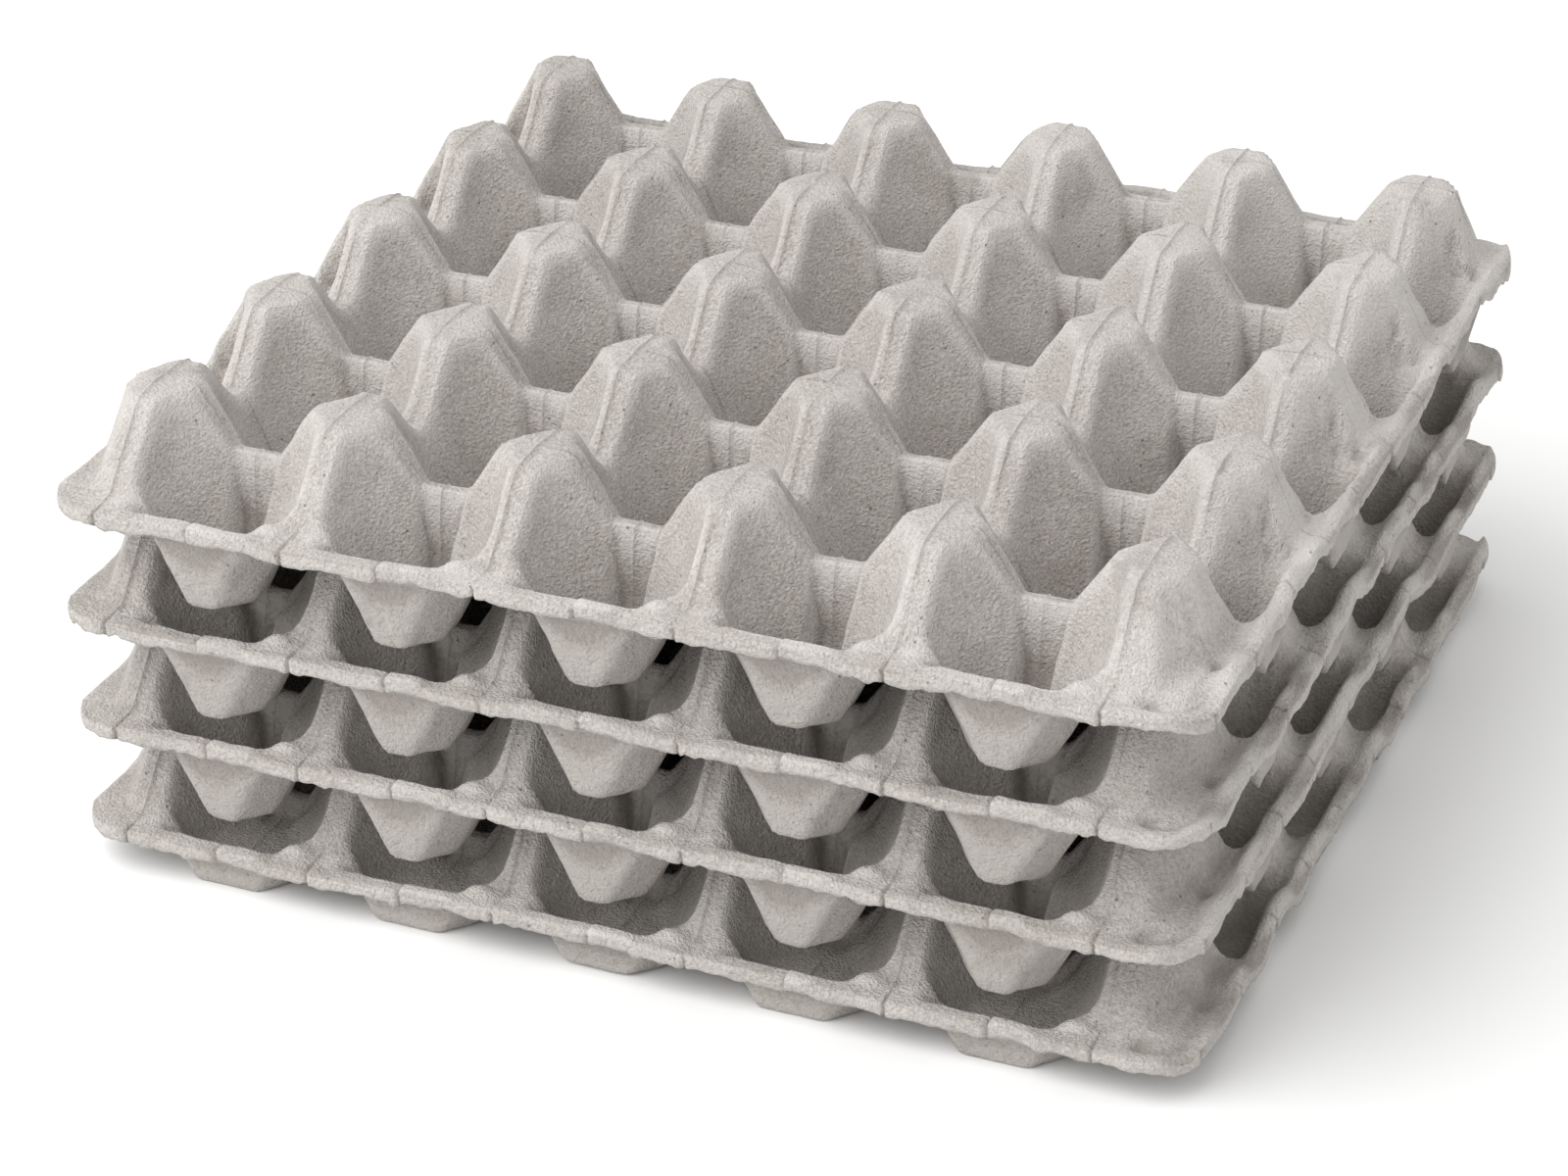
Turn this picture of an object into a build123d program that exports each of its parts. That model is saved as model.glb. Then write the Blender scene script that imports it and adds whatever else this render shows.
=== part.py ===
from build123d import *
import math
import os

# A stack of moulded-pulp egg trays, each one thin sheet, nested one in the next.
# Millimetres, +Z up. The origin is on the floor, under the middle of the stack.
# A tray is modelled in its own frame first, with z = 0 on the tops of its peaks, so
# every "drop" below is a distance down from there.

# --- the stack ---
tray_count = 4
stack_pitch = 29.3
nest_clearance = 0.3
crushed_by = 14.0

# --- one tray ---
columns = 6
rows = 5
pitch_x = 50.0
pitch_y = 55.0
margin_left = 15.0
margin_right = 24.0
margin_front = 36.5
margin_back = 15.0
corner_radius = 10.0
wall = 2.4
cup_drop = 45.0
flange_drop = 18.0
lip_height = 4.0

# --- peaks and the ridges that join them ---
plateau_x = 8.9
plateau_y = 11.5
ridge_half = 2.0
saddle_x_drop = 14.0
saddle_x_foot = 18.75
saddle_y_drop = 15.5
saddle_y_foot = 24.6
left_foot = 12.0
right_foot = 16.5
front_foot = 27.5
back_foot = 13.5

# --- cups: half sizes of the inside at the saddle and at the floor ---
cup_draft = 24.0
bridge_half = 6.25
floor_end = 3.0
floor_wide = 10.5
floor_reach = 13.0
strip_floor_half = 3.2
bow_share = 0.13

# --- border pockets, half cups with one flat wall just inside the flange edge ---
front_pocket_drop = 42.0
right_pocket_drop = 38.0
left_pocket_drop = 31.0
back_pocket_drop = 28.0
pocket_inset_top = 1.8
pocket_inset_floor = 4.0
pocket_open_half = 19.0
pocket_mouth_half = 15.0
pocket_floor_half = 5.0
pocket_turn = 4.0
side_mouth_half = 16.0
side_floor_half = 4.0
side_knee_y = 20.0
back_mouth_half = 13.5
back_knee_half = 12.0
back_floor_half = 6.5

# --- the feet of the ridges that run out to the flange ---
foot_half_x = 4.0
foot_half_y = 6.0

# --- worked out from the sizes above ---
tray_x = (columns - 1) * pitch_x + margin_left + margin_right
tray_y = (rows - 1) * pitch_y + margin_front + margin_back
shift_x = (margin_left - margin_right) / 2
shift_y = (margin_front - margin_back) / 2
well_x = pitch_x / 2
well_y = pitch_y / 2
outer_peak_x = (columns - 1) * pitch_x / 2
outer_peak_y = (rows - 1) * pitch_y / 2
lip_drop = flange_drop + lip_height
plan_wall = wall / math.cos(math.radians(cup_draft))
lean = (plateau_x - ridge_half) / (plateau_y - ridge_half)
corner_growth = math.hypot(1, lean) - lean
# A tray drops into the next until its strips are a wall and the clearance away from
# those below, measured square to them, so their slope sets how far apart trays stand.
strip_draft = math.asin((wall + nest_clearance) / stack_pitch)
strip_wall = wall / math.cos(strip_draft)


def blend(drop, stations):
    """Sizes at one drop, on straight lines through the stations (drop, sizes...)."""
    low = 1
    while low < len(stations) - 1 and stations[low][0] < drop:
        low += 1
    first, second = stations[low - 1], stations[low]
    share = (drop - first[0]) / (second[0] - first[0])
    return [a + (b - a) * share for a, b in zip(first[1:], second[1:])]


def slant_side(start, end):
    """A slanting side of a cup, as the point halfway along it, bowed out from the
    cup's middle by a fixed share of its length so that its faces stay flat."""
    middle_x = (start[0] + end[0]) / 2
    middle_y = (start[1] + end[1]) / 2
    across_x = end[1] - start[1]
    across_y = start[0] - end[0]
    bow = bow_share if across_x * middle_x + across_y * middle_y > 0 else -bow_share
    return middle_x + bow * across_x, middle_y + bow * across_y


def cup_sizes(drop, grow):
    """Half sizes of a cup: its ends, its sides, its reach and where its sides turn."""
    floor = cup_drop - wall
    stations = [
        (0, well_x - plateau_x, well_x - ridge_half, well_y - ridge_half),
        (saddle_x_drop, bridge_half, well_x - ridge_half, well_y - ridge_half),
        (floor, floor_end, floor_wide, floor_reach),
    ]
    end, wide, reach = blend(drop, stations)
    end += grow * corner_growth
    wide += grow
    reach += grow
    return end, wide, reach, reach - (wide - end) / lean


def strip_sizes(drop, strip_grow):
    """Half width and reach of the steep strips under the bridges, at one drop."""
    floor = cup_drop - wall
    reach = well_y - ridge_half
    fall = (floor - saddle_x_drop) * math.tan(strip_draft)
    stations = [
        (saddle_x_drop, bridge_half, reach),
        (floor, strip_floor_half, reach - fall),
    ]
    return [size + strip_grow for size in blend(drop, stations)]


def cup_tool(depth, grow, strip_grow):
    """A cup as a solid, with the two steep strips under the bridges at its ends."""
    with BuildPart() as tool:
        for drop in (0, saddle_x_drop, depth):
            end, wide, reach, side = cup_sizes(drop, grow)
            bulge_x, bulge_y = slant_side((wide, side), (end, reach))
            quarter = [(wide, side), (bulge_x, bulge_y), (end, reach)]
            half = quarter + [(-x, y) for x, y in reversed(quarter)]
            with BuildSketch(Plane.XY.offset(-drop)):
                with BuildLine():
                    Polyline(*half, *[(-x, -y) for x, y in half], close=True)
                make_face()
        loft(ruled=True)
        for drop in (saddle_x_drop, depth):
            half, reach = strip_sizes(drop, strip_grow)
            with BuildSketch(Plane.XY.offset(-drop)):
                Rectangle(2 * half, 2 * reach)
        loft(ruled=True)
    return tool.part


def front_pocket_tool(depth, grow, strip_grow):
    """A front pocket in the frame of its cup's centre, with its flat wall towards -Y."""
    floor = front_pocket_drop - wall
    wall_top = margin_front - well_y - pocket_inset_top - wall
    wall_floor = margin_front - well_y - pocket_inset_floor - wall
    mouth_stations = [
        (0, pocket_open_half, wall_top),
        (flange_drop, pocket_mouth_half, wall_top),
        (floor, pocket_floor_half, wall_floor),
    ]
    with BuildPart() as tool:
        for drop in (0, saddle_x_drop, flange_drop, depth):
            end, wide, reach, side = cup_sizes(drop, grow)
            mouth, out = blend(drop, mouth_stations)
            mouth += grow
            out += wall if grow else 0
            turn = min(pocket_turn, side - 1)
            bulge = slant_side((wide, side), (end, reach))
            half = [(mouth, -out), (wide, turn), (wide, side), bulge, (end, reach)]
            with BuildSketch(Plane.XY.offset(-drop)):
                with BuildLine():
                    Polyline(*half, *[(-x, y) for x, y in reversed(half)], close=True)
                make_face()
        loft(ruled=True)
        for drop in (saddle_x_drop, depth):
            half, reach = strip_sizes(drop, strip_grow)
            with BuildSketch(Plane.XY.offset(-drop)):
                with Locations((0, reach / 2)):
                    Rectangle(2 * half, reach)
        loft(ruled=True)
    return tool.part


def side_pocket_tool(depth, full_depth, margin, grow):
    """A side pocket in the frame of its cup's centre, with its flat wall towards +X."""
    floor = full_depth - wall
    wall_top = margin - well_x - pocket_inset_top - wall
    wall_floor = margin - well_x - pocket_inset_floor - wall
    knee_floor = (cup_sizes(floor, 0)[1] - wall_floor) / 2
    knee_saddle = (cup_sizes(saddle_x_drop, 0)[1] - wall_top) / 2
    stations = [
        (0, well_x - plateau_x, well_y - ridge_half, well_y - ridge_half, wall_top),
        (saddle_x_drop, knee_saddle, side_knee_y, side_mouth_half, wall_top),
        (flange_drop, knee_saddle, side_knee_y - 1, side_mouth_half, wall_top),
        (floor, knee_floor, side_floor_half, side_floor_half, wall_floor),
    ]
    with BuildPart() as tool:
        for drop in (0, saddle_x_drop, flange_drop, depth):
            wide, side = cup_sizes(drop, grow)[1::2]
            knee_x, knee_y, mouth, out = blend(drop, stations)
            knee_x += grow * corner_growth
            knee_y += grow
            mouth += grow
            out += wall if grow else 0
            side = min(max(side, ridge_half), knee_y - 0.5)
            half = [(-wide, side), (-knee_x, knee_y), (out, mouth)]
            with BuildSketch(Plane.XY.offset(-drop)):
                with BuildLine():
                    Polyline(*half, *[(x, -y) for x, y in reversed(half)], close=True)
                make_face()
        loft(ruled=True)
    return tool.part


def back_pocket_tool(depth, grow):
    """A back pocket in the frame of its cup's centre, with its flat wall towards +Y."""
    floor = back_pocket_drop - wall
    wall_top = margin_back - well_y - pocket_inset_top - wall
    wall_floor = margin_back - well_y - pocket_inset_floor - wall
    plateau_mouth = well_x - plateau_x + lean * (well_y - ridge_half + wall_top)
    plateau_knee = (well_x - plateau_x + plateau_mouth) / 2
    stations = [
        (0, plateau_knee, plateau_mouth, wall_top),
        (saddle_x_drop, back_knee_half + 1, back_mouth_half + 2, wall_top),
        (flange_drop, back_knee_half, back_mouth_half, wall_top),
        (floor, back_floor_half, back_floor_half, wall_floor),
    ]
    with BuildPart() as tool:
        for drop in (0, saddle_x_drop, flange_drop, depth):
            end, wide, reach, side = cup_sizes(drop, grow)
            knee_x, mouth, out = blend(drop, stations)
            end = min(end, knee_x - 0.5)
            knee_x += grow
            mouth += grow
            out += wall if grow else 0
            knee_y = (reach - out) / 2
            half = [(end, -reach), (knee_x, -knee_y), (mouth, out)]
            with BuildSketch(Plane.XY.offset(-drop)):
                with BuildLine():
                    Polyline(*half, *[(-x, y) for x, y in reversed(half)], close=True)
                make_face()
        loft(ruled=True)
    return tool.part


def corner_tool(end_x, end_y, foot_x, foot_y, grow):
    """What is cut away beyond a corner peak's flank, in that peak's frame, towards
    +X and +Y, so that the flank slopes from the plateau to the flange."""
    depth = flange_drop + (wall if grow else 0)
    half_x = min(foot_half_x, foot_y / 3)
    half_y = min(foot_half_y, foot_x / 3)
    stations = [
        (0, plateau_x, ridge_half, plateau_y, ridge_half),
        (flange_drop, foot_x, half_x, foot_y, half_y),
    ]
    with BuildPart() as tool:
        for drop in (0, depth):
            far_x, near_y, far_y, near_x = blend(drop, stations)
            slant = (far_x - near_x) / (far_y - near_y)
            root = math.hypot(1, slant)
            start = (far_x - grow * (root - slant), near_y - grow)
            end = (near_x - grow, far_y - grow * (root - 1) / slant)
            with BuildSketch(Plane.XY.offset(-drop)):
                with BuildLine():
                    Polyline(
                        start,
                        end,
                        (end[0], end_y + wall),
                        (end_x + wall, end_y + wall),
                        (end_x + wall, start[1]),
                        close=True,
                    )
                make_face()
        loft(ruled=True)
    return tool.part


def crest_line(count, pitch, plateau, foot, drop, feet, ends, lower):
    """The line of the ridge tops along one direction, as points (place, height), or
    the line lower below it, measured square to each slope. feet are the outermost
    peaks' slopes, from their middle to the flange, and ends the flange's edges."""
    points = [(ends[0], -flange_drop - lower)]
    for number in range(count):
        centre = (number - (count - 1) / 2) * pitch
        outermost_sides = (number == 0, number == count - 1)
        for side, outermost, flange_foot in zip((-1, 1), outermost_sides, feet):
            fall = flange_drop if outermost else drop
            reach = flange_foot if outermost else foot
            shift = lower * math.tan(math.atan2(fall, reach - plateau) / 2)
            slope = [
                (centre + side * (plateau - shift), -lower),
                (centre + side * (reach - shift), -fall - lower),
            ]
            points.extend(slope if side > 0 else slope[::-1])
    points.append((ends[1], -flange_drop - lower))
    return points


def landscape(lower, inset, bottom):
    """The block under the ridge tops and the flange, before any cup is pressed in."""
    left = -outer_peak_x - margin_left + inset
    right = outer_peak_x + margin_right - inset
    front = -outer_peak_y - margin_front + inset
    back = outer_peak_y + margin_back - inset
    x_slope = (plateau_x, saddle_x_foot, saddle_x_drop)
    y_slope = (plateau_y, saddle_y_foot, saddle_y_drop)
    across = crest_line(columns, pitch_x, *x_slope, (left_foot, right_foot), (left, right), lower)
    along = crest_line(rows, pitch_y, *y_slope, (front_foot, back_foot), (front, back), lower)
    with BuildPart() as block:
        with BuildSketch(Plane.XZ.offset(-back)):
            with BuildLine():
                Polyline(*across, (right, -bottom), (left, -bottom), close=True)
            make_face()
        extrude(amount=back - front)
        with BuildSketch(Plane.YZ.offset(left)):
            with BuildLine():
                Polyline(*along, (back, -bottom), (front, -bottom), close=True)
            make_face()
        extrude(amount=right - left, mode=Mode.INTERSECT)
        with BuildSketch(Plane.XY.offset(-bottom)):
            with Locations(((left + right) / 2, (front + back) / 2)):
                RectangleRounded(right - left, back - front, corner_radius - inset)
        extrude(amount=bottom, mode=Mode.INTERSECT)
    return block.part


def press_cups(deepest, under, grow, strip_grow):
    """Cuts every cup, pocket and corner out of the part that is being built, none
    deeper than deepest, and each less by under."""
    front_y = -outer_peak_y - well_y
    back_y = outer_peak_y + well_y
    side_x = outer_peak_x + well_x
    front_depth = min(front_pocket_drop, deepest) - under
    back_depth = min(back_pocket_drop, deepest) - under
    right_depth = min(right_pocket_drop, deepest) - under
    left_depth = min(left_pocket_drop, deepest) - under
    with GridLocations(pitch_x, pitch_y, columns - 1, rows - 1):
        add(cup_tool(deepest - under, grow, strip_grow), mode=Mode.SUBTRACT)
    with Locations((0, front_y)):
        with GridLocations(pitch_x, pitch_y, columns - 1, 1):
            add(front_pocket_tool(front_depth, grow, strip_grow), mode=Mode.SUBTRACT)
    with Locations((0, back_y)):
        with GridLocations(pitch_x, pitch_y, columns - 1, 1):
            add(back_pocket_tool(back_depth, grow), mode=Mode.SUBTRACT)
    right_pocket = side_pocket_tool(right_depth, right_pocket_drop, margin_right, grow)
    left_pocket = side_pocket_tool(left_depth, left_pocket_drop, margin_left, grow)
    with Locations((side_x, 0)):
        with GridLocations(pitch_x, pitch_y, 1, rows - 1):
            add(right_pocket, mode=Mode.SUBTRACT)
    with Locations((-side_x, 0)):
        with GridLocations(pitch_x, pitch_y, 1, rows - 1):
            add(left_pocket, rotation=(0, 0, 180), mode=Mode.SUBTRACT)
    for x_side, end_x, foot_x in ((-1, margin_left, left_foot), (1, margin_right, right_foot)):
        for y_side, end_y, foot_y in ((-1, margin_front, front_foot), (1, margin_back, back_foot)):
            corner = corner_tool(end_x, end_y, foot_x, foot_y, grow)
            if x_side < 0:
                corner = mirror(corner, about=Plane.YZ, mode=Mode.PRIVATE)
            if y_side < 0:
                corner = mirror(corner, about=Plane.XZ, mode=Mode.PRIVATE)
            with Locations((x_side * outer_peak_x, y_side * outer_peak_y)):
                add(corner, mode=Mode.SUBTRACT)


def tray_shell(crush):
    """One tray, no deeper than its cups less crush, with z = 0 on the tops of its peaks."""
    deepest = cup_drop - crush
    bottom = cup_drop + wall
    with BuildPart() as core:
        add(landscape(wall, wall, bottom))
        with BuildSketch(Plane.XY.offset(-bottom)):
            with Locations((-shift_x, -shift_y)):
                Rectangle(tray_x + wall, tray_y + wall)
        extrude(amount=bottom - lip_drop)
        press_cups(deepest, 0, plan_wall, strip_wall)
    with BuildPart() as shell:
        add(landscape(0, 0, deepest))
        add(core.part, mode=Mode.SUBTRACT)
        press_cups(deepest, wall, 0, 0)
    return shell.part


crushed_tray = tray_shell(crushed_by)
full_tray = tray_shell(0)
os.makedirs("parts", exist_ok=True)
for number in range(tray_count):
    level = cup_drop - crushed_by + number * stack_pitch
    with BuildPart() as tray:
        with Locations((shift_x, shift_y, level)):
            add(full_tray if number else crushed_tray)
    name = f"tray_{number + 1}"
    tray.part.label = name
    export_step(tray.part, f"parts/{name}.step")
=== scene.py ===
import logging
import math
from dataclasses import dataclass
from enum import Enum
from typing import Callable

import bpy
import numpy as np
from mathutils import Matrix, Vector


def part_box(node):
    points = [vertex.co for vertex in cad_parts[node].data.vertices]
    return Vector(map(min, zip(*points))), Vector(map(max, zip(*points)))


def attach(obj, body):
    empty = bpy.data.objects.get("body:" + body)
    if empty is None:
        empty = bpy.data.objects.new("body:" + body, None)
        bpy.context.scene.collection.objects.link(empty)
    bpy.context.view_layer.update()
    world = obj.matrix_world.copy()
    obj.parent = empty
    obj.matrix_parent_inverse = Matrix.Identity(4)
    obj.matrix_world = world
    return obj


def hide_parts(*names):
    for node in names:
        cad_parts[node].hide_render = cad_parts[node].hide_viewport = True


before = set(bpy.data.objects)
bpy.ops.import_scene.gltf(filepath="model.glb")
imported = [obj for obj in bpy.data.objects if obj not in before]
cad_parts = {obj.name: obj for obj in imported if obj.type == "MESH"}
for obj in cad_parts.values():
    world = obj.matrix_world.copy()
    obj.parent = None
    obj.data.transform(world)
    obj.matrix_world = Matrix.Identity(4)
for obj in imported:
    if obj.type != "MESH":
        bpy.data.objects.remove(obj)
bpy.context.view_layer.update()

MM = 0.001
FLOOR_GAP = 0.00005  # the lowest point's height over the floor, in metres
NO_HOLLOW = 14.0  # a height in mm above every peak, where nothing is cut
LEAST_CLOSING = 0.02  # how much an outline shrinks at least for each mm of drop
RING_TURNS = np.arange(6) * math.pi / 3  # the directions of six places round one
RING_SHARE = 0.6667  # the weight of each of them, where the middle has 2
LOG = logging.getLogger("egg_trays")

Array = np.ndarray
Colour = tuple[float, float, float]
Outline = Callable[[float], Array]
Socket = bpy.types.NodeSocket
Surface = Callable[[Array, Array], Array]


class Side(Enum):
    """The sides of a tray, which have borders of different widths."""

    FRONT = "front"
    RIGHT = "right"
    BACK = "back"
    LEFT = "left"


# --------------------------------------------------------------------------- shapes


def smooth_min(first: Array, second: Array, radius: float) -> Array:
    """The lower of two heights, with the corner between them rounded.

    Formula: mix the two by h, which goes from 0 to 1 while they differ by less
    than radius, and take off radius times h times (1 - h).

    Args:
        first: Heights.
        second: Heights of the same shape, or one height.
        radius: How far apart the two may be and still blend, in mm.

    Returns:
        The blended heights.
    """
    share = np.clip(0.5 + 0.5 * (second - first) / radius, 0.0, 1.0)
    return second + (first - second) * share - radius * share * (1.0 - share)


def smooth_max(first: Array, second: Array, radius: float) -> Array:
    """The higher of two heights, with the corner between them rounded."""
    return -smooth_min(-first, -second, radius)


def ramp(values: Array, start: float, end: float) -> Array:
    """An S-shaped rise from 0 at start to 1 at end: 3 t squared less 2 t cubed."""
    share = np.clip((values - start) / (end - start), 0.0, 1.0)
    return share * share * (3.0 - 2.0 * share)


def mound(distance: Array, half_width: float) -> Array:
    """A bell of height 1: e to the power of minus (distance over half width) squared."""
    return np.exp(-((distance / half_width) ** 2))


def beyond_line(x: Array, y: Array, start: tuple[float, float], end: tuple[float, float]) -> Array:
    """How far points lie to the left of the line from start to end, in mm.

    Args:
        x: Places of the points.
        y: Places of the points.
        start: A point of the line.
        end: Another point of the line.

    Returns:
        Signed distances, positive to the left of the line's direction.
    """
    run, rise = end[0] - start[0], end[1] - start[1]
    return (run * (y - start[1]) - rise * (x - start[0])) / math.hypot(run, rise)


def pressed_height(outline: Outline, drops: tuple[float, ...]) -> Array:
    """Height of a hollow's wall over each point.

    Formula: outline(drop) says how far a point lies outside the hollow at that
    drop, and the wall stands where that is nought, found on a straight line
    between one drop and the next.

    Args:
        outline: Gives the signed distance of every point at a drop.
        drops: The drops at which the outline is looked at, from the top down.

    Returns:
        Heights, 0 at the tops of the peaks and negative below.
    """
    outside = outline(drops[0])
    height = np.zeros_like(outside)
    for upper, lower in zip(drops[:-1], drops[1:]):
        below = outline(lower)
        growth = np.maximum(below - outside, LEAST_CLOSING * (lower - upper))
        here = -(upper - outside / growth * (lower - upper))
        reached = (outside < 0) | (upper == drops[0])
        height = np.where(reached, here, height)
        outside = below
    return np.minimum(height, NO_HOLLOW)


@dataclass(frozen=True)
class Ripple:
    """Seeded smooth noise in space, as a sum of waves in random directions."""

    seed: int
    wavelength: float
    waves: int = 18
    spread: float = 0.45

    def at(self, x: Array, y: Array, z: Array | float) -> Array:
        """Noise of about unit spread: the mean of sines of place along each wave.

        Args:
            x: Places in mm.
            y: Places in mm.
            z: Places in mm.

        Returns:
            The noise at each place.
        """
        draw = np.random.default_rng(self.seed)
        total = np.zeros(np.broadcast(x, y, z).shape)
        for _ in range(self.waves):
            way = draw.normal(size=3)
            way *= 2 * math.pi / (self.wavelength * np.linalg.norm(way))
            way *= math.exp(draw.normal() * self.spread)
            total += np.sin(way[0] * x + way[1] * y + way[2] * z + draw.uniform(0, 2 * math.pi))
        return total * math.sqrt(2.0 / self.waves)


@dataclass(frozen=True)
class Sizes:
    """A size that changes on straight lines between drops."""

    drops: tuple[float, ...]
    values: tuple[float, ...]

    def at(self, drop: float) -> float:
        """The size at one drop."""
        return float(np.interp(drop, self.drops, self.values))


@dataclass(frozen=True)
class TrayForm:
    """The sizes of one tray, in mm, with 0 on the tops of its peaks."""

    columns: int = 6
    rows: int = 5
    pitch_x: float = 50.0
    pitch_y: float = 55.0
    wall: float = 2.4

    # From the outer peaks to the edges.
    left: float = 15.0
    right: float = 24.0
    front: float = 36.5
    back: float = 15.0
    corner_radius: float = 13.0

    # How far below the peaks the hollows' outsides and the flange lie.
    cup_drop: float = 45.0
    front_drop: float = 42.0
    right_drop: float = 38.0
    left_drop: float = 31.0
    back_drop: float = 28.0
    flange_drop: float = 18.0

    # From a peak's middle to the end of its flat top, and to the foot of its slope.
    plateau_x: float = 8.9
    plateau_y: float = 11.5
    left_flat: float = 7.2
    back_flat: float = 8.8
    saddle_x_foot: float = 18.9
    saddle_y_foot: float = 24.6
    left_foot: float = 14.4
    right_foot: float = 16.5
    front_foot: float = 27.5
    back_foot: float = 11.8

    # The saddles between peaks, and the form of the ridges.
    saddle_x_drop: float = 14.8
    saddle_y_drop: float = 15.5
    ridge_half: float = 2.0
    ridge_lean: float = 2.0
    ridge_round: float = 0.6
    roof_drop: float = 0.9
    roof_power: float = 1.7

    @property
    def well_x(self) -> float:
        """From a column of peaks to the middle of a cup, along X."""
        return self.pitch_x / 2

    @property
    def well_y(self) -> float:
        """From a row of peaks to the middle of a cup, along Y."""
        return self.pitch_y / 2

    @property
    def span_x(self) -> float:
        """From the first column of peaks to the last."""
        return (self.columns - 1) * self.pitch_x

    @property
    def span_y(self) -> float:
        """From the first row of peaks to the last."""
        return (self.rows - 1) * self.pitch_y

    @property
    def lean(self) -> float:
        """How far a cup's slanting wall runs along X for each mm along Y."""
        return (self.plateau_x - self.ridge_half) / (self.plateau_y - self.ridge_half)

    def past_column(self, x: Array) -> Array:
        """How far places lie past the nearest column of peaks, along X."""
        return x - np.clip(np.round(x / self.pitch_x), 0, self.columns - 1) * self.pitch_x

    def past_row(self, y: Array) -> Array:
        """How far places lie past the nearest row of peaks, along Y."""
        return y - np.clip(np.round(y / self.pitch_y), 0, self.rows - 1) * self.pitch_y

    def from_seams(self, x: Array, y: Array) -> tuple[Array, Array]:
        """How far places lie from the nearest mould seams.

        Formula: seams run through the peaks and through the cups' middles, so a place
        is wrapped to lie within half their spacing, and its sign is dropped.

        Args:
            x: Places from the first column of peaks.
            y: Places from the first row of peaks.

        Returns:
            The distances along X and along Y.
        """
        from_x = np.abs((x + self.well_x / 2) % self.well_x - self.well_x / 2)
        from_y = np.abs((y + self.well_y / 2) % self.well_y - self.well_y / 2)
        return from_x, from_y

    def insets(self, x: Array, y: Array) -> dict[Side, Array]:
        """How far places lie in from each side's edge.

        Args:
            x: Places from the first column of peaks.
            y: Places from the first row of peaks.

        Returns:
            The distances by side.
        """
        return {
            Side.LEFT: x + self.left,
            Side.RIGHT: self.span_x + self.right - x,
            Side.FRONT: y + self.front,
            Side.BACK: self.span_y + self.back - y,
        }

    def crest(self, x: Array, lower: float, along_x: bool) -> Array:
        """The line of the ridge tops along one direction.

        Formula: flat over each peak's top, down a straight slope to the saddle or
        to the flange, with the corners rounded, and a slight roof on the top.

        Args:
            x: Places along the direction, from the first peak.
            lower: How far below the top surface the line runs, square to it.
            along_x: True along X, False along Y.

        Returns:
            Heights in mm.
        """
        if along_x:
            pitch, span, flat = self.pitch_x, self.span_x, self.plateau_x
            foot, drop = self.saddle_x_foot, self.saddle_x_drop
            flats, feet = (self.left_flat, flat), (self.left_foot, self.right_foot)
        else:
            pitch, span, flat = self.pitch_y, self.span_y, self.plateau_y
            foot, drop = self.saddle_y_foot, self.saddle_y_drop
            flats, feet = (flat, self.back_flat), (self.front_foot, self.back_foot)
        away = np.abs(x - np.clip(np.round(x / pitch) * pitch, 0.0, span))
        inner = self._slope(away, flat, foot, drop, lower)
        first = self._slope(-x, flats[0], feet[0], self.flange_drop, lower)
        last = self._slope(x - span, flats[1], feet[1], self.flange_drop, lower)
        height = np.where(x < 0, first, np.where(x > span, last, inner))
        if lower == 0:
            height = height - self.roof_drop * (np.minimum(away, flat) / flat) ** self.roof_power
        return height

    def _slope(self, away: Array, flat: float, foot: float, drop: float, lower: float) -> Array:
        """One side of a peak: 0 as far as flat, then straight down to -drop at foot.

        Args:
            away: Places from the peak's middle.
            flat: Where the slope starts.
            foot: Where it ends.
            drop: How far it goes down.
            lower: How far below the top surface the line runs, square to it.

        Returns:
            Heights in mm.
        """
        shift = lower * math.tan(math.atan2(drop, foot - flat) / 2)
        slope = -(away - flat + shift) * drop / (foot - flat)
        rounded = smooth_min(slope, np.zeros_like(away), self.ridge_round)
        return smooth_max(rounded, np.full_like(away, -drop), self.ridge_round) - lower


class Hollow:
    """A hollow of the tray: outlines that shrink with depth, over a flat floor."""

    # A full cup by drop: half its width, half its flat end, and its half length. The
    # pockets keep to them on their inner side.
    wide = Sizes((14.0, 42.6), (23.0, 10.5))
    end = Sizes((0.0, 14.0, 42.6), (16.1, 6.25, 3.0))
    reach = Sizes((14.0, 42.6), (25.5, 13.0))
    steps = (0.0, 3.0, 7.0, 10.5, 14.0, 18.0, 22.0, 26.0, 30.0, 34.0, 38.0, 42.6)
    floor_round = 3.0
    under_round = 2.0

    def __init__(self, form: TrayForm, drop: float) -> None:
        """Keeps the tray's sizes and the hollow's own depth.

        Args:
            form: The tray's sizes.
            drop: The depth of the hollow's outside.
        """
        self.form = form
        self.drop = drop
        self.floor = drop - form.wall
        self.drops = tuple(step for step in self.steps if step < self.floor - 1) + (self.floor,)

    def outline(self, a: Array, b: Array, drop: float) -> Array:
        """How far points lie outside the hollow at one drop, in mm."""
        raise NotImplementedError

    def height(self, a: Array, b: Array, grow: float, under: float, deepest: float) -> Array:
        """Height of the hollow's surface.

        Args:
            a: Places in the hollow's own frame.
            b: Places in the hollow's own frame.
            grow: How much wider the outline is, for the underside.
            under: How much lower the floor is, for the underside.
            deepest: No hollow goes below this drop, measured to its outside.

        Returns:
            Heights in mm.
        """
        wall = pressed_height(lambda drop: self.outline(a, b, drop) - grow, self.drops)
        floor = -(min(self.drop, deepest) - self.form.wall) - under
        rounding = self.under_round if under else self.floor_round
        return smooth_max(wall, np.full_like(wall, floor), rounding)


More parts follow.
